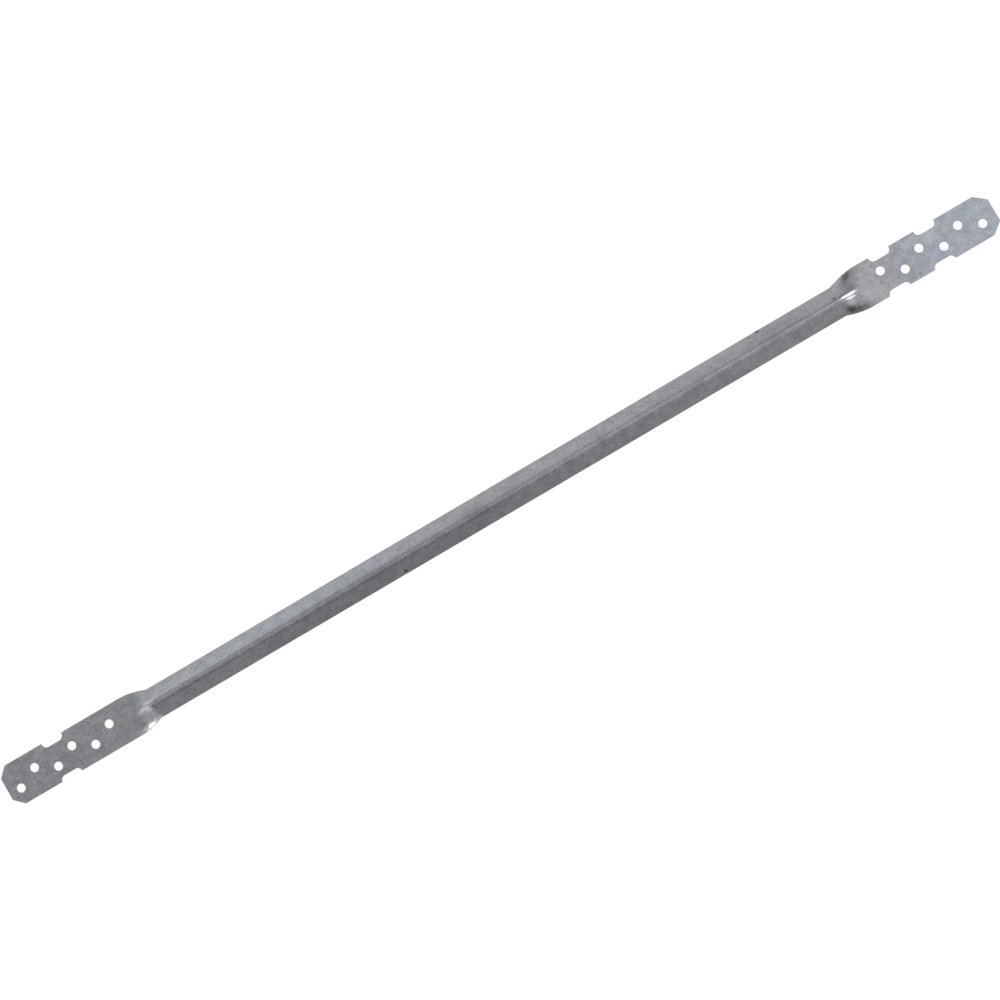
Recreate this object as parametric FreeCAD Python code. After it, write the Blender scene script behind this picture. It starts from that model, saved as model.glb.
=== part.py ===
import FreeCAD, Part
import math
import os

# Steel joist bridging: one strip of galvanised sheet. Its middle is folded to a V with the ridge up,
# and it runs out into a flat nailing tab at each end. The tabs are pierced for nails in a zigzag, and
# paired notches in their edges mark the lines where they are bent over the joists.
# +X runs along the strut, +Y across it, +Z up. The two edges of the V stand on Z = 0.
# Lengths are in millimetres, angles in degrees.

# Sheet and fold
SHEET_THICKNESS = 0.91
STRIP_WIDTH = 19.05
FOLD_ANGLE = 48.0
RIDGE_INSIDE_RADIUS = 1.6

# Lengths along the strut
OVERALL_LENGTH = 494.8
LEFT_RUNOUT_LENGTH = 11.7
RIGHT_RUNOUT_LENGTH = 12.7
LAST_HOLE_TO_RUNOUT = 8.9

# Nail holes, counted inwards from each tip
HOLE_DIAMETER = 3.97
HOLE_COUNT = 6
HOLE_PITCH = 9.525
HOLE_ROW_SPACING = 4.76
LEFT_TIP_TO_HOLE = 5.8
RIGHT_TIP_TO_HOLE = 7.0

# Bending notches, in pairs across the tab
NOTCH_LENGTH = 10.0
NOTCH_DEPTH = 2.4
NOTCH_CORNER_RADIUS = 2.2
HOLE_TO_NOTCH = 22.225
NOTCH_PAIR_PITCH = 22.225
LEFT_NOTCH_PAIRS = 1
RIGHT_NOTCH_PAIRS = 2

# The piercing tool sits a little to one side of the strip's centre line.
PIERCING_OFFSET = -0.28

# Cut corners of the tips, along and across the strut
LEFT_CORNER_LENGTH = 4.3
RIGHT_CORNER_LENGTH = 5.3
CORNER_WIDTH = 4.2

# Sections lofted through each run-out from flat to V
RUNOUT_SECTIONS = 7

# Values that follow from the sizes above
HALF_SHEET = SHEET_THICKNESS / 2
HALF_WIDTH = STRIP_WIDTH / 2
HALF_LENGTH = OVERALL_LENGTH / 2
FULL_FOLD = math.radians(FOLD_ANGLE)
BEND_LENGTH = 2 * FULL_FOLD * (RIDGE_INSIDE_RADIUS + HALF_SHEET)
WING_LENGTH = (STRIP_WIDTH - BEND_LENGTH) / 2
HOLE_ROW_LENGTH = (HOLE_COUNT - 1) * HOLE_PITCH


def fold_height(fold):
    """Height of the sheet's middle surface, from the strip's edges to its ridge, at a fold in radians."""
    if fold == 0:
        return 0.0
    bend_radius = BEND_LENGTH / (2 * fold)
    return WING_LENGTH * math.sin(fold) + bend_radius * (1 - math.cos(fold))


# The tabs' middle plane lies halfway up the V, so that the ridge sinks to it and the edges rise to it.
TAB_MIDDLE = HALF_SHEET * math.cos(FULL_FOLD) + fold_height(FULL_FOLD) / 2


def skin_points(fold, offset):
    """Points (y, z) across one skin of the sheet: edge, end of wing, ridge, end of wing, edge."""
    ridge = TAB_MIDDLE + fold_height(fold) / 2
    if fold == 0:
        wing_end = BEND_LENGTH / 2
        wing_end_height = ridge + offset
    else:
        bend_radius = BEND_LENGTH / (2 * fold)
        wing_end = (bend_radius + offset) * math.sin(fold)
        wing_end_height = ridge - bend_radius + (bend_radius + offset) * math.cos(fold)
    edge = wing_end + WING_LENGTH * math.cos(fold)
    edge_height = wing_end_height - WING_LENGTH * math.sin(fold)
    return [
        (-edge, edge_height),
        (-wing_end, wing_end_height),
        (0.0, ridge + offset),
        (wing_end, wing_end_height),
        (edge, edge_height),
    ]


def skin_edges(x, fold, offset):
    """A wing, the bend at the ridge and the other wing, as three edges at one station of the strut."""
    start, wing_start, ridge, wing_end, end = [
        FreeCAD.Vector(x, y, z) for y, z in skin_points(fold, offset)
    ]
    if fold == 0:
        bend = Part.makeLine(wing_start, wing_end)
    else:
        bend = Part.Arc(wing_start, ridge, wing_end).toShape()
    return [Part.makeLine(start, wing_start), bend, Part.makeLine(wing_end, end)]


def strip_section(x, fold):
    """Closed outline of the sheet's section at one station of the strut."""
    upper = skin_edges(x, fold, HALF_SHEET)
    lower = skin_edges(x, fold, -HALF_SHEET)
    rims = [
        Part.makeLine(upper[0].firstVertex().Point, lower[0].firstVertex().Point),
        Part.makeLine(upper[2].lastVertex().Point, lower[2].lastVertex().Point),
    ]
    return Part.Wire(Part.__sortEdges__(upper + rims + lower))


def runout(x_flat, x_folded):
    """Drawn transition from a flat tab to the V: the fold grows evenly along it."""
    sections = []
    for index in range(RUNOUT_SECTIONS):
        share = index / (RUNOUT_SECTIONS - 1)
        sections.append(strip_section(x_flat + share * (x_folded - x_flat), share * FULL_FOLD))
    return Part.makeLoft(sections, True, False)


def v_body(x_start, x_end):
    """Straight V between the two run-outs."""
    face = Part.Face(strip_section(x_start, FULL_FOLD))
    return face.extrude(FreeCAD.Vector(x_end - x_start, 0, 0))


def plate_box(x_first, x_second, y_first, y_second):
    """Block as thick as the sheet, in the plane of the tabs."""
    corner = FreeCAD.Vector(min(x_first, x_second), min(y_first, y_second), TAB_MIDDLE - HALF_SHEET)
    return Part.makeBox(abs(x_second - x_first), abs(y_second - y_first), SHEET_THICKNESS, corner)


def nail_hole(x, y):
    """Punch for one nail hole."""
    return Part.makeCylinder(
        HOLE_DIAMETER / 2, SHEET_THICKNESS, FreeCAD.Vector(x, y, TAB_MIDDLE - HALF_SHEET)
    )


def notch(x, side):
    """Round-cornered punch that straddles one edge of the strip, on the side given by its sign."""
    y = side * HALF_WIDTH + PIERCING_OFFSET
    half = NOTCH_LENGTH / 2
    punch = plate_box(x - half, x + half, y - NOTCH_DEPTH, y + NOTCH_DEPTH)
    upright = [edge for edge in punch.Edges if abs(edge.tangentAt(edge.FirstParameter).z) > 0.5]
    return punch.makeFillet(min(NOTCH_CORNER_RADIUS, 0.95 * NOTCH_DEPTH), upright)


def corner_cut(x_tip, inwards, side, length):
    """Wedge that takes off one corner of a tip."""
    z = TAB_MIDDLE - HALF_SHEET
    corner = FreeCAD.Vector(x_tip, side * HALF_WIDTH, z)
    along = FreeCAD.Vector(x_tip + inwards * length, side * HALF_WIDTH, z)
    across = FreeCAD.Vector(x_tip, side * (HALF_WIDTH - CORNER_WIDTH), z)
    face = Part.Face(Part.makePolygon([corner, along, across, corner]))
    return face.extrude(FreeCAD.Vector(0, 0, SHEET_THICKNESS))


def tab(x_tip, inwards, tip_to_hole, notch_pairs, corner_length):
    """Flat nailing tab. inwards is +1 or -1, the way from its tip to the middle of the strut."""
    x_hole = x_tip + inwards * tip_to_hole
    x_root = x_hole + inwards * (HOLE_ROW_LENGTH + LAST_HOLE_TO_RUNOUT)
    cuts = []
    for index in range(HOLE_COUNT):
        side = -1 if index % 2 == 0 else 1
        y = side * HOLE_ROW_SPACING / 2 + PIERCING_OFFSET
        cuts.append(nail_hole(x_hole + inwards * index * HOLE_PITCH, y))
    for side in (-1, 1):
        cuts.append(corner_cut(x_tip, inwards, side, corner_length))
        for pair in range(notch_pairs):
            cuts.append(notch(x_hole + inwards * (HOLE_TO_NOTCH + pair * NOTCH_PAIR_PITCH), side))
    plate = plate_box(x_tip, x_root, -HALF_WIDTH, HALF_WIDTH)
    return plate.cut(cuts), x_root


def bridging_strut():
    """The whole strut, fused from its tabs, run-outs and body."""
    left_tab, left_root = tab(
        -HALF_LENGTH, 1, LEFT_TIP_TO_HOLE, LEFT_NOTCH_PAIRS, LEFT_CORNER_LENGTH
    )
    right_tab, right_root = tab(
        HALF_LENGTH, -1, RIGHT_TIP_TO_HOLE, RIGHT_NOTCH_PAIRS, RIGHT_CORNER_LENGTH
    )
    body_start = left_root + LEFT_RUNOUT_LENGTH
    body_end = right_root - RIGHT_RUNOUT_LENGTH
    pieces = [
        runout(left_root, body_start),
        v_body(body_start, body_end),
        runout(right_root, body_end),
        right_tab,
    ]
    return left_tab.fuse(pieces).removeSplitter()


os.makedirs("parts", exist_ok=True)
strut = bridging_strut()
strut.exportStep("parts/bridging_strut.step")
print(strut.ShapeType, "valid", strut.isValid(), "solids", len(strut.Solids))
print("volume", round(strut.Volume, 2), "box", strut.optimalBoundingBox(True, False))
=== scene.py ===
"""Steel joist bridging: the dressed strut on a white studio floor, seen almost straight from above."""
import logging
import math
from dataclasses import dataclass
from enum import Enum

import bmesh
import bpy
from mathutils import Matrix, Vector, noise


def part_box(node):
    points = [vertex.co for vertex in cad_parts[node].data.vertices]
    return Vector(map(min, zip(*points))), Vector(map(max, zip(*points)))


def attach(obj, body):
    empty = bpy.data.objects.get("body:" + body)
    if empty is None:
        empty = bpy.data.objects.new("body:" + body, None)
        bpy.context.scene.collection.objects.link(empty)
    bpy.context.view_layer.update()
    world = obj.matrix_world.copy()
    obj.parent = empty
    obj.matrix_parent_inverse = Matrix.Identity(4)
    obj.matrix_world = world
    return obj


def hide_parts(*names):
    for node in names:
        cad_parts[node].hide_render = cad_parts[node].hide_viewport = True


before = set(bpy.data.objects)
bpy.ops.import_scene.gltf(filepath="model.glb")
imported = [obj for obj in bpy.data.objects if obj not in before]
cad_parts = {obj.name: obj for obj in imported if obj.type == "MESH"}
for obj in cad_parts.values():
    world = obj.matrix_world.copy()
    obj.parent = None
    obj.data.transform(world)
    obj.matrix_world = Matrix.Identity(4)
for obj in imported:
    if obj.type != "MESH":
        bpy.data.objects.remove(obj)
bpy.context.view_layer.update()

MM = 0.001
TINY = 1e-7
MERGE_DISTANCE = 10 * TINY
FLAT_FOLD = 1e-6
UPWARDS = Vector((0.0, 0.0, 1.0))
STRUT_NODE = "bridging_strut"

Colour = tuple[float, float, float, float]
Span = tuple[float, float]
Socket = bpy.types.NodeSocket
Feed = Socket | float | tuple[float, ...]
Verts = list[bmesh.types.BMVert]
Edges = list[bmesh.types.BMEdge]

FULL_RANGE: Span = (0.0, 1.0)
NOISE_MIDDLE = (0.5, 0.5, 0.5)

# Numbers of the colour sockets of Blender's mix node
MIX_SHARE = 0
MIX_FIRST = 6
MIX_SECOND = 7
MIX_RESULT = 2

log = logging.getLogger("bridging")


class End(Enum):
    """The two ends of the strut, by the sign of X on their side."""

    LEFT = -1
    RIGHT = 1


class Skin(Enum):
    """The faces of the sheet, by the number of their finish on the strut."""

    UPPER = 0
    EDGE = 1
    UNDER = 2


class Trace(Enum):
    """What a mark on the zinc is, by the name of its colour in the finish: dirt and painted shade, painted
    sheen, a painted highlight, a bloom, or painted shade alone.
    """

    SMUDGE = "smudged"
    RUB = "rubbed"
    SHINE = "burnished"
    BLOOM = "bloomed"
    DULL = "dulled"

    @property
    def blend(self) -> str:
        """How the mark's colour goes over the zinc: bloom and painted shade multiply it, the others are mixed
        over it.
        """
        return "MULTIPLY" if self in (Trace.BLOOM, Trace.DULL) else "MIX"


class NodeSheet:
    """Adds shader nodes to one tree and links them."""

    def __init__(self, tree: bpy.types.NodeTree) -> None:
        """Start on an emptied tree."""
        self.tree = tree
        tree.nodes.clear()

    def add(self, kind: str, inputs: dict[str | int, Feed] | None = None, **settings: str) -> bpy.types.Node:
        """Add one node.

        Args:
            kind: Blender's name of the node type.
            inputs: Values or sockets for its inputs, by name or number.
            **settings: Properties of the node itself.

        Returns:
            The new node.
        """
        node = self.tree.nodes.new(kind)
        for name, value in settings.items():
            setattr(node, name, value)
        for name, value in (inputs or {}).items():
            if isinstance(value, Socket):
                self.tree.links.new(value, node.inputs[name])
            else:
                node.inputs[name].default_value = value
        return node

    def combine(self, operation: str, first: Feed, second: Feed) -> Socket:
        """Combine two values.

        Args:
            operation: Name of the operation.
            first: Value or socket.
            second: Value or socket.

        Returns:
            The result's socket.
        """
        return self.add("ShaderNodeMath", {0: first, 1: second}, operation=operation).outputs[0]

    def combine_vectors(
        self, operation: str, first: Feed, second: Feed | None = None, **inputs: Feed
    ) -> Socket:
        """Combine two vectors.

        Args:
            operation: Name of the operation.
            first: Vector or socket.
            second: Vector or socket, where the operation needs one.
            **inputs: Further inputs by name, such as Scale.

        Returns:
            The result's socket.
        """
        values = {0: first, **inputs}
        if second is not None:
            values[1] = second
        node = self.add("ShaderNodeVectorMath", values, operation=operation)
        return node.outputs["Value" if operation == "LENGTH" else "Vector"]

    def scaled(self, value: Feed, window: Span, result: Span) -> Socket:
        """Map a range of values smoothly onto another one.

        Args:
            value: Socket to map.
            window: Values that become the two ends of the result.
            result: Result at and below the window's start, and at and above its end.

        Returns:
            The result's socket.
        """
        ends = {"From Min": window[0], "From Max": window[1], "To Min": result[0], "To Max": result[1]}
        inputs = {"Value": value, **ends}
        return self.add("ShaderNodeMapRange", inputs, interpolation_type="SMOOTHSTEP").outputs[0]

    def mixed(self, share: Feed, first: Feed, second: Feed, blend: str = "MIX") -> Socket:
        """Mix two colours.

        Args:
            share: Share of the second colour, as a value or socket.
            first: Colour or socket.
            second: Colour or socket.
            blend: Blending mode.

        Returns:
            The result's socket.
        """
        inputs = {MIX_SHARE: share, MIX_FIRST: first, MIX_SECOND: second}
        return self.add("ShaderNodeMix", inputs, data_type="RGBA", blend_type=blend).outputs[MIX_RESULT]

    def even_noise(self, place: Socket, size: float, detail: float) -> Socket:
        """Make an even noise.

        Args:
            place: Coordinates that it follows.
            size: Size of its features.
            detail: Number of finer layers.

        Returns:
            The socket of its value, about 0.5 on average.
        """
        inputs = {"Vector": place, "Scale": 1.0 / size, "Detail": detail}
        return self.add("ShaderNodeTexNoise", inputs).outputs["Fac"]

    def bumped(self, height: Socket, strength: float, distance: float, **inputs: Feed) -> Socket:
        """Roughen a skin in relief.

        Args:
            height: Relief, about 0 to 1.
            strength: Share of the relief that shows.
            distance: Height of the full relief.
            **inputs: Further inputs by name, such as Normal.

        Returns:
            The socket of the roughened normal.
        """
        relief = {"Strength": strength, "Distance": distance, "Height": height}
        return self.add("ShaderNodeBump", {**relief, **inputs}).outputs[0]

    def end_in_metal(self, colour: Feed, roughness: Feed, normal: Socket) -> None:
        """End the tree in a bare metal.

        Args:
            colour: Colour of its reflections.
            roughness: Roughness of its skin.
            normal: Normal of its skin.
        """
        inputs = {"Base Color": colour, "Metallic": 1.0, "Roughness": roughness, "Normal": normal}
        metal = self.add("ShaderNodeBsdfPrincipled", inputs)
        self.add("ShaderNodeOutputMaterial", {"Surface": metal.outputs[0]})


def new_material(name: str) -> tuple[bpy.types.Material, NodeSheet]:
    """Make a material without nodes.

    Args:
        name: Its name.

    Returns:
        The material, and the sheet that fills its tree.
    """
    material = bpy.data.materials.new(name)
    material.use_nodes = True
    return material, NodeSheet(material.node_tree)


def new_object(name: str, data: bpy.types.ID) -> bpy.types.Object:
    """Put a new object into the scene.

    Args:
        name: Its name.
        data: Its mesh, light or camera.

    Returns:
        The object, at the origin.
    """
    made = bpy.data.objects.new(name, data)
    bpy.context.collection.objects.link(made)
    return made


@dataclass(frozen=True)
class ZincPatch:
    """One soft-edged oval on the upper skin: a speck of dirt, a bloom, or painted shade, sheen or highlight
    that stands in for light.

    Its place and size are in millimetres, and its turn is in degrees from +X. It has its full strength
    up to the first share of its half size, and ends at the second one.
    """

    trace: Trace
    x: float
    y: float
    length: float
    width: float
    turn: float
    strength: float
    fade: Span = (0.35, 1.15)

    def mask(self, sheet: NodeSheet, place: Socket, ragged: Socket) -> Socket:
        """Draw the mark.

        Args:
            sheet: Tree that gets the nodes.
            place: Object coordinates.
            ragged: Value that frays its outline.

        Returns:
            The socket of its strength, 0 away from the mark.
        """
        oval = sheet.add("ShaderNodeMapping", {
            "Vector": place,
            "Location": (self.x * MM, self.y * MM, 0.0),
            "Rotation": (0.0, 0.0, math.radians(self.turn)),
            "Scale": (self.length * MM / 2, self.width * MM / 2, 1.0),
        }, vector_type="TEXTURE").outputs[0]
        reach = sheet.combine("ADD", sheet.combine_vectors("LENGTH", oval), ragged)
        return sheet.scaled(reach, self.fade, (self.strength, 0.0))


DIRT_AND_PAINTED_LIGHT = (
    # Painted shade: dark patches on the right run-out's edges, where the twisting wings would reflect dark
    # surroundings.
    ZincPatch(Trace.SMUDGE, 178.9, 7.5, 5.6, 3.0, 25.0, 0.68),
    ZincPatch(Trace.SMUDGE, 181.2, 6.6, 2.5, 2.0, 0.0, 0.2),
    ZincPatch(Trace.SMUDGE, 176.4, 5.5, 7.0, 2.4, 38.0, 0.22),
    ZincPatch(Trace.SMUDGE, 174.5, 4.6, 8.0, 5.0, 0.0, 0.16),
    ZincPatch(Trace.SMUDGE, 174.2, -6.0, 5.4, 2.8, -40.0, 0.78),
    ZincPatch(Trace.SMUDGE, 177.2, -7.1, 4.6, 2.2, -20.0, 0.6),
    ZincPatch(Trace.SMUDGE, 180.3, -7.6, 4.6, 2.2, -15.0, 0.36),
    # Small dark specks of dirt near the edges and the ridge.
    ZincPatch(Trace.SMUDGE, 169.5, 1.65, 1.8, 1.6, 0.0, 0.75),
    ZincPatch(Trace.SMUDGE, 163.8, -1.45, 1.4, 1.2, 0.0, 0.35),
    ZincPatch(Trace.SMUDGE, 190.5, 5.6, 1.4, 1.4, 0.0, 0.45),
    ZincPatch(Trace.SMUDGE, 190.7, -2.65, 1.4, 1.2, 0.0, 0.5),
    ZincPatch(Trace.SMUDGE, 206.9, -7.8, 1.4, 1.2, 0.0, 0.45),
    ZincPatch(Trace.SMUDGE, 134.5, 6.7, 2.4, 1.8, 0.0, 0.9),
    ZincPatch(Trace.SMUDGE, -48.4, -5.75, 2.2, 1.5, 20.0, 0.85),
    # Painted shade: a faint darkening on the left run-out, and thin bands along the ridge's upper flank that
    # soften the bend's shading.
    ZincPatch(Trace.SMUDGE, -178.0, 3.8, 9.0, 5.0, -10.0, 0.12),
    ZincPatch(Trace.SMUDGE, -70.0, 1.68, 150.0, 1.1, 0.0, 0.11),
    ZincPatch(Trace.SMUDGE, 25.0, 1.68, 130.0, 1.1, 0.0, 0.11),
    ZincPatch(Trace.SMUDGE, 118.0, 1.68, 110.0, 1.1, 0.0, 0.11),
    # Painted sheen: light patches on both run-outs and the right tab, brightest on the left nose and its
    # lower edge, where the lamps would light the sloping metal.
    ZincPatch(Trace.RUB, 175.2, -3.3, 6.0, 2.6, -15.0, 0.17),
    ZincPatch(Trace.RUB, 217.8, 4.2, 9.0, 6.0, 30.0, 0.11),
    ZincPatch(Trace.RUB, -176.0, 0.4, 12.0, 2.8, 13.0, 0.25),
    ZincPatch(Trace.RUB, -177.0, -1.2, 8.5, 4.8, 10.0, 0.56),
    ZincPatch(Trace.RUB, -176.6, -2.2, 7.4, 4.0, 5.0, 0.66),
    ZincPatch(Trace.RUB, -175.2, -1.5, 4.6, 2.8, 0.0, 1.0),
    ZincPatch(Trace.RUB, -176.8, -4.0, 9.0, 5.2, 8.0, 0.5),
    # Painted highlights: glinting streaks along the right nose and a glare on the left run-out's lower edge;
    # they also lower the roughness there as a polish.
    ZincPatch(Trace.SHINE, 175.7, 0.1, 9.0, 1.2, 0.0, 1.0),
    ZincPatch(Trace.SHINE, 176.0, -1.4, 5.6, 1.3, -4.0, 1.0),
    ZincPatch(Trace.SHINE, -177.2, -7.2, 11.0, 3.2, 14.0, 1.0),
    ZincPatch(Trace.BLOOM, 229.0, 0.0, 66.0, 66.0, 0.0, 0.9),
    ZincPatch(Trace.BLOOM, -95.0, 4.2, 150.0, 8.0, 0.0, 0.3),
    # Painted shade: the lower wing darker along the middle and left, and a darker band on the upper flank by
    # the ridge at the right.
    ZincPatch(Trace.DULL, -25.0, -6.0, 210.0, 24.0, 0.0, 0.9),
    ZincPatch(Trace.DULL, 142.0, 2.2, 76.0, 7.0, 0.0, 0.6),
)


@dataclass(frozen=True)
class GalvanisedSteel:
    """Hot-dip zinc on cold-rolled strip: fine spangle, faint streaks from the rolls, dirt specks and bloom,
    and painted shade, sheen and highlights.

    The tones are shares on the way from deep to pale zinc, which add up. The windows are the parts of a
    noise that its result is spread over.
    """

    name: str
    marks: tuple[ZincPatch, ...] = ()
    deep_zinc: Colour = (0.193, 0.197, 0.208, 1.0)
    pale_zinc: Colour = (0.321, 0.328, 0.347, 1.0)
    cool_tint: Colour = (0.985, 1.0, 1.022, 1.0)
    warm_tint: Colour = (1.008, 1.008, 0.988, 1.0)
    # Dark marks: dirt specks and painted shade.
    smudged: Colour = (0.055, 0.064, 0.064, 1.0)
    # Painted sheen: a light colour for patches where the lamps would catch the metal.
    rubbed: Colour = (0.8, 0.81, 0.85, 1.0)
    # Painted highlight, on marks that also get the polish below.
    burnished: Colour = (0.82, 0.83, 0.85, 1.0)
    bloomed: Colour = (1.03, 1.08, 1.155, 1.0)
    # Painted shade, multiplied over the zinc.
    dulled: Colour = (0.86, 0.86, 0.87, 1.0)
    roughness: float = 0.5
    roughness_play: float = 0.05
    polish: float = 0.28
    spangle_size: float = 2.6 * MM
    spangle_tilt: float = 0.06
    spangle_tone: Span = (0.0, 0.28)
    grain_size: float = 0.6 * MM
    grain_detail: float = 3.0
    grain_tone: Span = (-0.27, 0.62)
    grain_relief: float = 0.3
    grain_height: float = 0.03 * MM
    cloud_size: float = 14.0 * MM
    cloud_detail: float = 4.0
    cloud_tone: Span = (0.0, 0.2)
    streak_length: float = 90.0 * MM
    streak_width: float = 0.9 * MM
    streak_detail: float = 3.0
    streak_tone: Span = (0.04, 0.12)
    tint_size: float = 7.0 * MM
    tint_detail: float = 2.0
    tint_window: Span = (0.35, 0.65)
    noise_window: Span = (0.3, 0.7)
    fray_window: Span = (0.25, 0.75)
    fray_reach: Span = (-0.15, 0.15)

    def spangle(self, sheet: NodeSheet, place: Socket) -> bpy.types.Node:
        """Grow the zinc's crystals.

        Args:
            sheet: Tree that gets the nodes.
            place: Object coordinates.

        Returns:
            The node of cells with frayed borders.
        """
        fray = sheet.add("ShaderNodeTexNoise", {"Vector": place, "Scale": 1.0 / self.grain_size})
        push = sheet.combine_vectors("SUBTRACT", fray.outputs["Color"], NOISE_MIDDLE)
        push = sheet.combine_vectors("SCALE", push, Scale=self.spangle_size)
        frayed = sheet.combine_vectors("ADD", place, push)
        return sheet.add("ShaderNodeTexVoronoi", {"Vector": frayed, "Scale": 1.0 / self.spangle_size})

    def facets(self, sheet: NodeSheet, cells: bpy.types.Node) -> Socket:
        """Lean the skin a little another way on each crystal.

        Args:
            sheet: Tree that gets the nodes.
            cells: Node of the zinc's crystals.

        Returns:
            The socket of the normal.
        """
        lean = sheet.combine_vectors("SUBTRACT", cells.outputs["Color"], NOISE_MIDDLE)
        lean = sheet.combine_vectors("SCALE", lean, Scale=self.spangle_tilt)
        facing = sheet.add("ShaderNodeNewGeometry").outputs["Normal"]
        return sheet.combine_vectors("NORMALIZE", sheet.combine_vectors("ADD", facing, lean))

    def tone(self, sheet: NodeSheet, place: Socket, cells: bpy.types.Node, grain: Socket) -> Socket:
        """Mix crystals, grain, clouds and streaks to one lightness.

        Args:
            sheet: Tree that gets the nodes.
            place: Object coordinates.
            cells: Node of the zinc's crystals.
            grain: Socket of the fine grain.

        Returns:
            The socket of the lightness, about 0 to 1.
        """
        stretch = self.streak_length / self.streak_width
        stretched = {"Vector": place, "Scale": (1.0, stretch, stretch)}
        along = sheet.add("ShaderNodeMapping", stretched).outputs[0]
        cell = sheet.add("ShaderNodeSeparateColor", {0: cells.outputs["Color"]}).outputs["Red"]
        clouds = sheet.even_noise(place, self.cloud_size, self.cloud_detail)
        streaks = sheet.even_noise(along, self.streak_length, self.streak_detail)
        total = sheet.scaled(cell, FULL_RANGE, self.spangle_tone)
        layers = ((grain, self.grain_tone), (clouds, self.cloud_tone), (streaks, self.streak_tone))
        for layer, share in layers:
            total = sheet.combine("ADD", total, sheet.scaled(layer, self.noise_window, share))
        return total

    def tinted(self, sheet: NodeSheet, place: Socket, colour: Socket) -> Socket:
        """Tint the zinc with faint cool and warm patches.

        Args:
            sheet: Tree that gets the nodes.
            place: Object coordinates.
            colour: Socket of the zinc's colour.

        Returns:
            The socket of the tinted colour.
        """
        patches = sheet.even_noise(place, self.tint_size, self.tint_detail)
        warmth = sheet.scaled(patches, self.tint_window, FULL_RANGE)
        tint = sheet.mixed(warmth, self.cool_tint, self.warm_tint)
        return sheet.mixed(1.0, colour, tint, "MULTIPLY")

    def traces(self, sheet: NodeSheet, place: Socket, grain: Socket) -> dict[Trace, Socket]:
        """Draw the marks of each kind, painted shade and highlights among them.

        Args:
            sheet: Tree that gets the nodes.
            place: Object coordinates.
            grain: Socket of the fine grain, which frays the marks.

        Returns:
            The socket of the strength of each kind that the finish has.
        """
        ragged = sheet.scaled(grain, self.fray_window, self.fray_reach)
        found: dict[Trace, Socket] = {}
        for mark in self.marks:
            mask = mark.mask(sheet, place, ragged)
            if mark.trace in found:
                mask = sheet.combine("MAXIMUM", found[mark.trace], mask)
            found[mark.trace] = mask
        return found

    def material(self) -> bpy.types.Material:
        """Make the finish of the sheet's faces, with the dirt, bloom, painted shade and painted highlights of
        its marks.

        Returns:
            The material.
        """
        material, sheet = new_material(self.name)
        place = sheet.add("ShaderNodeTexCoord").outputs["Object"]
        grain = sheet.even_noise(place, self.grain_size, self.grain_detail)
        cells = self.spangle(sheet, place)
        colour = sheet.mixed(self.tone(sheet, place, cells, grain), self.deep_zinc, self.pale_zinc)
        colour = self.tinted(sheet, place, colour)
        play = (self.roughness - self.roughness_play, self.roughness + self.roughness_play)
        rough = sheet.scaled(grain, self.noise_window, play)
        traces = self.traces(sheet, place, grain)
        # The marks go over the zinc's colour here: dirt, bloom, painted shade, painted sheen and painted
        # highlights.
        for trace, strength in traces.items():
            colour = sheet.mixed(strength, colour, getattr(self, trace.value), trace.blend)
        # The painted highlights are also polished: their roughness drops.
        if Trace.SHINE in traces:
            polished = sheet.combine("MULTIPLY", traces[Trace.SHINE], self.polish)
            rough = sheet.combine("SUBTRACT", rough, polished)
        facets = self.facets(sheet, cells)
        skin = sheet.bumped(grain, self.grain_relief, self.grain_height, Normal=facets)
        sheet.end_in_metal(colour, rough, skin)
        return material


@dataclass(frozen=True)
class ShearedSteel:
    """Bare cropped edges of the sheet, brighter than its zinc, with the marks of the shear across them."""

    name: str = "sheared_steel"
    bright: Colour = (0.52, 0.52, 0.53, 1.0)
    torn: Colour = (0.30, 0.30, 0.31, 1.0)
    roughness: float = 0.38
    mark_size: float = 0.2 * MM
    mark_squeeze: float = 0.2
    mark_detail: float = 2.0
    mark_window: Span = (0.35, 0.65)
    mark_relief: float = 0.3
    mark_height: float = 0.05 * MM

    def material(self) -> bpy.types.Material:
        """Make the finish of the cropped edges.

        Returns:
            The material.
        """
        material, sheet = new_material(self.name)
        place = sheet.add("ShaderNodeTexCoord").outputs["Object"]
        upright = sheet.add("ShaderNodeMapping", {"Vector": place, "Scale": (1.0, 1.0, self.mark_squeeze)})
        marks = sheet.even_noise(upright.outputs[0], self.mark_size, self.mark_detail)
        colour = sheet.mixed(sheet.scaled(marks, self.mark_window, FULL_RANGE), self.torn, self.bright)
        skin = sheet.bumped(marks, self.mark_relief, self.mark_height)
        sheet.end_in_metal(colour, self.roughness, skin)
        return material


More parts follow.
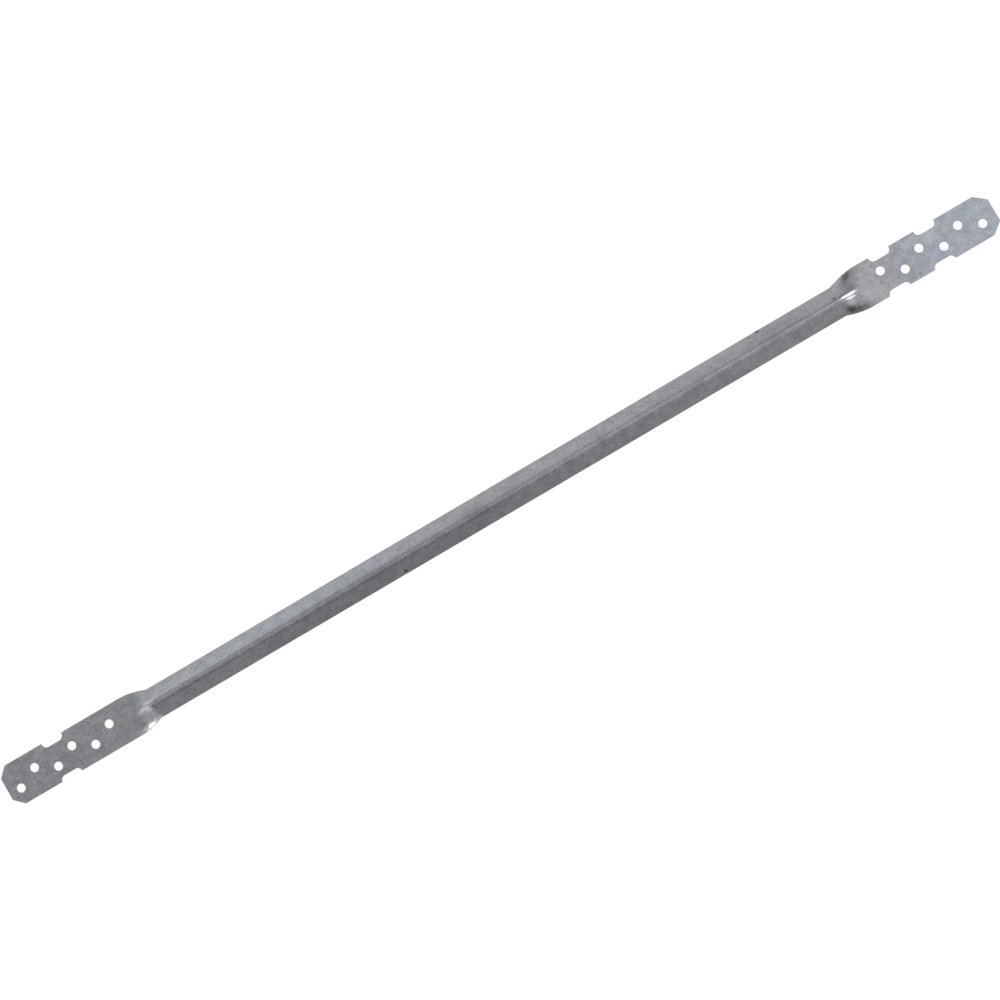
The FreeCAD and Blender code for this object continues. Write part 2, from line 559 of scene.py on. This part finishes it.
@dataclass(frozen=True)
class StripSection:
    """Cross-section of the folded strip, by the middle of the sheet."""

    sheet: float = 0.91 * MM
    width: float = 19.05 * MM
    full_fold: float = math.radians(48.0)
    inside_radius: float = 1.6 * MM

    @property
    def bend_length(self) -> float:
        """Developed length of the bend at the ridge."""
        return 2 * self.full_fold * (self.inside_radius + self.sheet / 2)

    @property
    def wing_length(self) -> float:
        """Width of each flat wing of the V."""
        return (self.width - self.bend_length) / 2

    @property
    def tab_height(self) -> float:
        """Height of the tabs' middle plane, halfway up the V."""
        return self.sheet / 2 * math.cos(self.full_fold) + self.fold_height(self.full_fold) / 2

    def fold_height(self, fold: float) -> float:
        """Measure the fold from the strip's edges to its ridge.

        Args:
            fold: Slope of the wings in radians, above 0.

        Returns:
            The height of the sheet's middle surface.
        """
        radius = self.bend_length / (2 * fold)
        return self.wing_length * math.sin(fold) + radius * (1 - math.cos(fold))

    def place(self, across: float, fold: float) -> tuple[float, float]:
        """Find where a point of the flat strip goes when the strip is folded.

        Args:
            across: Distance from the strip's centre line, with its sign.
            fold: Slope of the wings in radians.

        Returns:
            The point's Y and Z.
        """
        if fold < FLAT_FOLD:
            return across, self.tab_height
        ridge = self.tab_height + self.fold_height(fold) / 2
        radius = self.bend_length / (2 * fold)
        turn = min(abs(across) / radius, fold)
        past_bend = max(abs(across) - self.bend_length / 2, 0.0)
        y = radius * math.sin(turn) + past_bend * math.cos(fold)
        z = ridge - radius * (1 - math.cos(turn)) - past_bend * math.sin(fold)
        return math.copysign(y, across), z


def extruded(blank: bmesh.types.BMesh, row: Edges) -> tuple[Verts, Edges]:
    """Extrude a row of edges.

    Args:
        blank: Mesh that they are in.
        row: The edges.

    Returns:
        The new vertices, and the new edges between them.
    """
    made = bmesh.ops.extrude_edge_only(blank, edges=row)["geom"]
    verts = [item for item in made if isinstance(item, bmesh.types.BMVert)]
    edges = [item for item in made if isinstance(item, bmesh.types.BMEdge)]
    fresh = set(verts)
    return verts, [edge for edge in edges if fresh.issuperset(edge.verts)]


def eased_corner(value: float, ease: float) -> float:
    """Ramp that leaves 0 along a curve between -ease and ease, and then equals the value."""
    turned = min(max(value + ease, 0.0), 2 * ease)
    return turned ** 2 / (4 * ease) + max(value - ease, 0.0)


@dataclass(frozen=True)
class TabPattern:
    """Piercing and cropping of one nailing tab, measured inwards from its tip.

    The eases are shares of the run-out's length, over which the fold starts and ends softly.
    """

    end: End
    tip_x: float
    half_width: float
    tip_to_hole: float
    corner_length: float
    notch_pairs: int
    runout_length: float
    corner_width: float = 4.2 * MM
    hole_radius: float = 1.985 * MM
    hole_count: int = 6
    hole_pitch: float = 9.525 * MM
    hole_row_spacing: float = 4.76 * MM
    last_hole_to_runout: float = 8.9 * MM
    root_ease: float = 0.2
    body_ease: float = 0.07
    notch_length: float = 10.0 * MM
    notch_depth: float = 2.4 * MM
    notch_corner_radius: float = 2.2 * MM
    hole_to_notch: float = 22.225 * MM
    notch_pitch: float = 22.225 * MM
    piercing_offset: float = -0.28 * MM
    rim_band: float = 0.4 * MM
    hole_segments: int = 32
    corner_segments: int = 6

    def along(self, distance: float) -> float:
        """X at a distance inwards from the tip."""
        return self.tip_x - self.end.value * distance

    @property
    def root_x(self) -> float:
        """X where the flat tab meets its run-out."""
        row = (self.hole_count - 1) * self.hole_pitch
        return self.along(self.tip_to_hole + row + self.last_hole_to_runout)

    @property
    def body_x(self) -> float:
        """X where the run-out meets the full V."""
        return self.root_x - self.end.value * self.runout_length

    @property
    def flat_x(self) -> float:
        """X where the tab stops being quite flat, just before its root."""
        return self.root_x + self.end.value * self.root_ease * self.runout_length

    @property
    def straight_x(self) -> float:
        """X where the V becomes quite straight, just past the run-out."""
        return self.body_x - self.end.value * self.body_ease * self.runout_length

    def fold_share(self, x: float) -> float:
        """Find how far the strip is folded: evenly more along the run-out, with both of its ends eased.

        Args:
            x: Place along the strut.

        Returns:
            Share of the full fold, 0 on the tab and 1 on the body.
        """
        share = self.end.value * (self.root_x - x) / self.runout_length
        return eased_corner(share, self.root_ease) - eased_corner(share - 1.0, self.body_ease)

    def hole_centres(self) -> list[Vector]:
        """Lay out the nail holes, which zigzag between two rows.

        Returns:
            Their centres from the tip inwards.
        """
        centres = []
        for index in range(self.hole_count):
            side = 1 if index % 2 else -1
            x = self.along(self.tip_to_hole + index * self.hole_pitch)
            centres.append(Vector((x, side * self.hole_row_spacing / 2 + self.piercing_offset, 0.0)))
        return centres

    def notch_floor(self, side: int) -> float:
        """Y of the notches' inner wall on one side of the tab."""
        return side * (self.half_width - self.notch_depth) + self.piercing_offset

    def side_points(self, side: int) -> list[Vector]:
        """Lay out one long edge of the tab.

        Args:
            side: +1 for the edge towards +Y, -1 for the other.

        Returns:
            Corner points from the tip to the root.
        """
        edge = side * self.half_width
        points = [(self.tip_x, edge - side * self.corner_width), (self.along(self.corner_length), edge)]
        for pair in range(self.notch_pairs):
            centre = self.tip_to_hole + self.hole_to_notch + pair * self.notch_pitch
            start = self.along(centre - self.notch_length / 2)
            end = self.along(centre + self.notch_length / 2)
            floor = self.notch_floor(side)
            points += [(start, edge), (start, floor), (end, floor), (end, edge)]
        return [Vector((x, y, 0.0)) for x, y in points]

    def crop(self, blank: bmesh.types.BMesh, root_stations: list[float]) -> None:
        """Crop the tab's outline as one face, and round the corners of its notches.

        Args:
            blank: Mesh of the flat blank.
            root_stations: Places across the root where the body's lines start, from +Y to -Y.
        """
        root = [Vector((self.flat_x, y, 0.0)) for y in root_stations]
        outline = self.side_points(1) + root + self.side_points(-1)[::-1]
        corners = [blank.verts.new(point) for point in outline]
        blank.faces.new(corners)
        for side in (1, -1):
            floor = self.notch_floor(side)
            wall = abs(side * self.half_width - floor)
            level = [v for v in corners if v.is_valid and abs(v.co.y - floor) < TINY]
            bmesh.ops.bevel(
                blank, geom=[v for v in level if abs(v.co.x - self.flat_x) > TINY], affect="VERTICES",
                offset=min(self.notch_corner_radius, wall), offset_type="OFFSET",
                segments=self.corner_segments, profile=0.5, material=-1,
            )
        bmesh.ops.remove_doubles(blank, verts=blank.verts, dist=MERGE_DISTANCE)

    def band_outline(self, blank: bmesh.types.BMesh) -> Edges:
        """Lay a band of quads along the tab's outline, and leave its middle open.

        Args:
            blank: Mesh of the flat blank, with this tab as one face.

        Returns:
            The inner edges of the band.
        """
        own = [f for f in blank.faces if f.calc_center_bounds().x * self.end.value > 0]
        middle = max(own, key=lambda f: f.calc_area())
        bmesh.ops.inset_region(
            blank, faces=[middle], thickness=self.rim_band, use_boundary=True, use_even_offset=True
        )
        rim = list(middle.edges)
        bmesh.ops.delete(blank, geom=[middle], context="FACES_ONLY")
        return rim

    def band_hole(self, blank: bmesh.types.BMesh, centre: Vector) -> Edges:
        """Lay a band of quads round one nail hole.

        Args:
            blank: Mesh of the flat blank.
            centre: The hole's centre.

        Returns:
            The outer edges of the band.
        """
        shift = Matrix.Translation(centre)
        circle = bmesh.ops.create_circle(
            blank, cap_ends=False, segments=self.hole_segments, radius=self.hole_radius, matrix=shift
        )["verts"]
        inner = list(dict.fromkeys(e for v in circle for e in v.link_edges))
        outer, rim = extruded(blank, inner)
        grow = 1 + self.rim_band / self.hole_radius
        bmesh.ops.scale(blank, vec=(grow, grow, 1.0), space=shift.inverted(), verts=outer)
        return rim

    def cut(self, blank: bmesh.types.BMesh, root_stations: list[float]) -> None:
        """Cut the flat tab, with quads along every rim so that its edges can be broken evenly.

        Args:
            blank: Mesh of the flat blank.
            root_stations: Places across the root where the body's lines start, from +Y to -Y.
        """
        self.crop(blank, root_stations)
        rims = self.band_outline(blank)
        for centre in self.hole_centres():
            rims += self.band_hole(blank, centre)
        bmesh.ops.triangle_fill(blank, use_beauty=True, edges=rims, normal=UPWARDS)


@dataclass
class BridgingStrut:
    """The strut: one strip, folded to a V between its two pierced tabs."""

    low: Vector
    high: Vector
    section: StripSection = StripSection()
    zinc: GalvanisedSteel = GalvanisedSteel("galvanised_upper_painted_light", DIRT_AND_PAINTED_LIGHT)
    under: GalvanisedSteel = GalvanisedSteel("galvanised_under")
    edges: ShearedSteel = ShearedSteel()
    wing_lines: int = 8
    bend_lines: int = 12
    body_spacing: float = 4.0 * MM
    runout_lines: int = 32
    sharp_angle: float = math.radians(30)
    edge_break: float = 0.12 * MM
    edge_segments: int = 3
    waviness: float = 0.004
    wave_length: float = 35.0 * MM

    def tabs(self) -> tuple[TabPattern, TabPattern]:
        """Lay out both tabs.

        Returns:
            The patterns of the left and the right tab.
        """
        half = self.section.width / 2
        left = TabPattern(
            End.LEFT, self.low.x, half,
            tip_to_hole=5.8 * MM, corner_length=4.3 * MM, notch_pairs=1, runout_length=11.7 * MM,
        )
        right = TabPattern(
            End.RIGHT, self.high.x, half,
            tip_to_hole=7.0 * MM, corner_length=5.3 * MM, notch_pairs=2, runout_length=12.7 * MM,
        )
        return left, right

    def cross_stations(self) -> list[float]:
        """Lay out the lengthwise lines across the flat strip.

        Returns:
            Their places from +Y to -Y.
        """
        half_bend = self.section.bend_length / 2
        half = self.section.width / 2
        wing = [half - (half - half_bend) * step / self.wing_lines for step in range(self.wing_lines)]
        bend = [half_bend * (1 - 2 * step / self.bend_lines) for step in range(self.bend_lines + 1)]
        return wing + bend + [-y for y in reversed(wing)]

    def long_stations(self) -> list[float]:
        """Lay out the crosswise lines after the left root, up to the right one.

        Returns:
            Their X from left to right.
        """
        left, right = self.tabs()
        body_lines = math.ceil((right.straight_x - left.straight_x) / self.body_spacing)
        runs = [
            (left.flat_x, left.straight_x, self.runout_lines),
            (left.straight_x, right.straight_x, body_lines),
            (right.straight_x, right.flat_x, self.runout_lines),
        ]
        stations = []
        for start, end, count in runs:
            stations += [start + (end - start) * (step + 1) / count for step in range(count)]
        return stations

    def fold_share(self, x: float) -> float:
        """Share of the full fold at one place along the strut."""
        return min(tab.fold_share(x) for tab in self.tabs())

    def draw_body(self, blank: bmesh.types.BMesh) -> None:
        """Draw the strip between the tabs by extruding the left root line station by station.

        Args:
            blank: Mesh of the flat blank, with both tabs cut.
        """
        left, _ = self.tabs()
        x = left.flat_x
        row = [e for e in blank.edges if all(abs(v.co.x - x) < TINY for v in e.verts)]
        for station in self.long_stations():
            verts, row = extruded(blank, row)
            bmesh.ops.translate(blank, vec=(station - x, 0.0, 0.0), verts=verts)
            x = station
        bmesh.ops.remove_doubles(blank, verts=blank.verts, dist=MERGE_DISTANCE)
        bmesh.ops.recalc_face_normals(blank, faces=blank.faces)

    def fold_blank(self, blank: bmesh.types.BMesh) -> None:
        """Fold the flat blank, a little unevenly along its length.

        Args:
            blank: Mesh of the flat blank.
        """
        for vert in blank.verts:
            x, across, _ = vert.co
            share = self.fold_share(x)
            wave = self.waviness * noise.noise(Vector((x / self.wave_length, 0.0, 0.0))) * share
            y, z = self.section.place(across, self.section.full_fold * (share - abs(wave)))
            vert.co = (x, y, z)

    def press_sheet(self) -> bpy.types.Mesh:
        """Cut and fold the middle surface of the sheet.

        Returns:
            The mesh, with its faces turned up.
        """
        blank = bmesh.new()
        for tab in self.tabs():
            tab.cut(blank, self.cross_stations())
        self.draw_body(blank)
        self.fold_blank(blank)
        if sum(face.normal.z for face in blank.faces) < 0:
            bmesh.ops.reverse_faces(blank, faces=blank.faces)
        for face in blank.faces:
            face.smooth = True
        mesh = bpy.data.meshes.new("strut_sheet")
        blank.to_mesh(mesh)
        blank.free()
        return mesh

    def build(self) -> bpy.types.Object:
        """Model the strut.

        Returns:
            The object, in its place.
        """
        strut = new_object("strut_sheet", self.press_sheet())
        thicken = strut.modifiers.new("thickness", "SOLIDIFY")
        thicken.thickness = self.section.sheet
        thicken.offset = 0.0
        thicken.use_even_offset = True
        thicken.material_offset_rim = Skin.EDGE.value
        thicken.material_offset = Skin.UNDER.value
        broken = strut.modifiers.new("broken_edges", "BEVEL")
        broken.limit_method = "ANGLE"
        broken.angle_limit = self.sharp_angle
        broken.width = self.edge_break
        broken.segments = self.edge_segments
        strut.modifiers.new("even_normals", "WEIGHTED_NORMAL")
        return strut

    def dress(self, strut: bpy.types.Object) -> None:
        """Give the strut its finishes and fix it to the frame.

        Args:
            strut: The modelled strut.
        """
        finishes = {Skin.UPPER: self.zinc, Skin.EDGE: self.edges, Skin.UNDER: self.under}
        for skin in Skin:
            strut.data.materials.append(finishes[skin].material())
        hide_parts(STRUT_NODE)
        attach(strut, "root")


@dataclass(frozen=True)
class Softbox:
    """One studio lamp with a diffuser, placed as the picture shows it and aimed at the strut.

    Its bearing and elevation are in degrees, and its sizes in metres.
    """

    name: str
    bearing: float
    elevation: float
    width: float
    height: float
    radiance: float
    distance: float = 1.6

    def hang(self, right: Vector, up: Vector) -> bpy.types.Object:
        """Hang the lamp.

        Args:
            right: Level direction that points right in the picture, from which the bearing counts.
            up: Level direction that points up in the picture.

        Returns:
            The lamp's object.
        """
        bearing, elevation = math.radians(self.bearing), math.radians(self.elevation)
        level = math.cos(bearing) * right + math.sin(bearing) * up
        out = math.cos(elevation) * level + math.sin(elevation) * UPWARDS
        light = bpy.data.lights.new(self.name, "AREA")
        light.shape = "RECTANGLE"
        light.size = self.width
        light.size_y = self.height
        light.energy = self.radiance * math.pi * self.width * self.height
        lamp = new_object(self.name, light)
        lamp.location = self.distance * out
        lamp.rotation_euler = (-out).to_track_quat("-Z", "Y").to_euler()
        return lamp


@dataclass
class Studio:
    """White floor, softboxes and the camera of the photograph."""

    camera_place: Vector = Vector((0.04807, -0.05715, 1.02074))
    camera_aim: Vector = Vector((0.00228, 0.00014, 0.0))
    picture_turn: float = math.radians(30.305)
    lens: float = 85.0
    floor_side: float = 30.0
    floor_colour: Colour = (0.1, 0.1, 0.1, 1.0)
    floor_glow: float = 0.93
    surround: float = 0.26
    lamps: tuple[Softbox, ...] = (
        Softbox("overhead", 30.0, 78.0, 1.0, 1.0, 1.85),
        Softbox("high_right", 25.0, 52.0, 1.3, 0.9, 1.33),
        Softbox("far_low", 132.0, 10.0, 2.2, 0.5, 2.7),
        Softbox("far_wall", 116.0, 38.0, 2.4, 1.2, 0.35),
        Softbox("far_high", 120.0, 60.0, 1.0, 0.5, 0.45),
        Softbox("far_left", 162.0, 18.0, 1.2, 0.8, 0.53),
        Softbox("left_wall", 208.0, 26.0, 1.6, 1.2, 0.84),
        Softbox("left_high", 215.0, 58.0, 1.2, 0.9, 0.72),
        Softbox("right_low", -5.0, 20.0, 1.4, 0.9, 0.8),
        Softbox("nose_spot", 35.0, 54.0, 0.25, 0.25, 4.2),
        Softbox("edge_spot", -36.0, 33.0, 0.6, 0.9, 2.2),
    )

    @property
    def picture_up(self) -> Vector:
        """Level direction that points up in the picture."""
        return Vector((math.sin(self.picture_turn), math.cos(self.picture_turn), 0.0))

    @property
    def picture_right(self) -> Vector:
        """Level direction that points right in the picture."""
        return self.picture_up.cross(UPWARDS)

    def floor_material(self) -> bpy.types.Material:
        """Make the floor's white: it glows for the camera and in reflections, and throws little light.

        Returns:
            The material.
        """
        material, sheet = new_material("floor_white")
        path = sheet.add("ShaderNodeLightPath").outputs
        seen = sheet.combine("MAXIMUM", path["Is Camera Ray"], path["Is Glossy Ray"])
        seen = sheet.combine("MAXIMUM", seen, path["Is Transmission Ray"])
        glow = sheet.add("ShaderNodeEmission", {"Strength": sheet.combine("MULTIPLY", seen, self.floor_glow)})
        lit = sheet.add("ShaderNodeBsdfDiffuse", {"Color": self.floor_colour})
        shader = sheet.add("ShaderNodeAddShader", {0: lit.outputs[0], 1: glow.outputs[0]})
        sheet.add("ShaderNodeOutputMaterial", {"Surface": shader.outputs[0]})
        return material

    def lay_floor(self) -> bpy.types.Object:
        """Lay the white floor under the strut.

        Returns:
            The floor's object.
        """
        plane = bmesh.new()
        bmesh.ops.create_grid(plane, x_segments=1, y_segments=1, size=self.floor_side / 2)
        mesh = bpy.data.meshes.new("studio_floor")
        plane.to_mesh(mesh)
        plane.free()
        mesh.materials.append(self.floor_material())
        floor = new_object("studio_floor", mesh)
        return floor

    def light(self) -> None:
        """Hang the lamps and set the surround."""
        for lamp in self.lamps:
            lamp.hang(self.picture_right, self.picture_up)
        world = bpy.data.worlds.new("studio")
        bpy.context.scene.world = world
        world.use_nodes = True
        sheet = NodeSheet(world.node_tree)
        grey = (self.surround, self.surround, self.surround, 1.0)
        back = sheet.add("ShaderNodeBackground", {"Color": grey, "Strength": 1.0})
        sheet.add("ShaderNodeOutputWorld", {"Surface": back.outputs[0]})

    def set_camera(self) -> bpy.types.Object:
        """Stand the camera where the photograph was taken from.

        Returns:
            The camera's object.
        """
        lens = bpy.data.cameras.new("photo_camera")
        lens.lens = self.lens
        camera = new_object("photo_camera", lens)
        forward = (self.camera_aim - self.camera_place).normalized()
        right = forward.cross(self.picture_up).normalized()
        turn = Matrix((right, right.cross(forward), -forward)).transposed().to_4x4()
        camera.matrix_world = Matrix.Translation(self.camera_place) @ turn
        bpy.context.scene.camera = camera
        return camera


def main() -> None:
    """Build and dress the strut, then set up the studio round it."""
    logging.basicConfig(level=logging.INFO, format="%(message)s")
    low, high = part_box(STRUT_NODE)
    bridging = BridgingStrut(Vector(low), Vector(high))
    strut = bridging.build()
    bridging.dress(strut)
    log.info("%s: %d faces before its finish", strut.name, len(strut.data.polygons))
    studio = Studio()
    log.info("floor: %s", studio.lay_floor().name)
    studio.light()
    log.info("lamps: %d", len(studio.lamps))
    log.info("camera: %s", studio.set_camera().name)
    bpy.context.scene.view_settings.view_transform = "Standard"


if __name__ == "__main__":
    main()
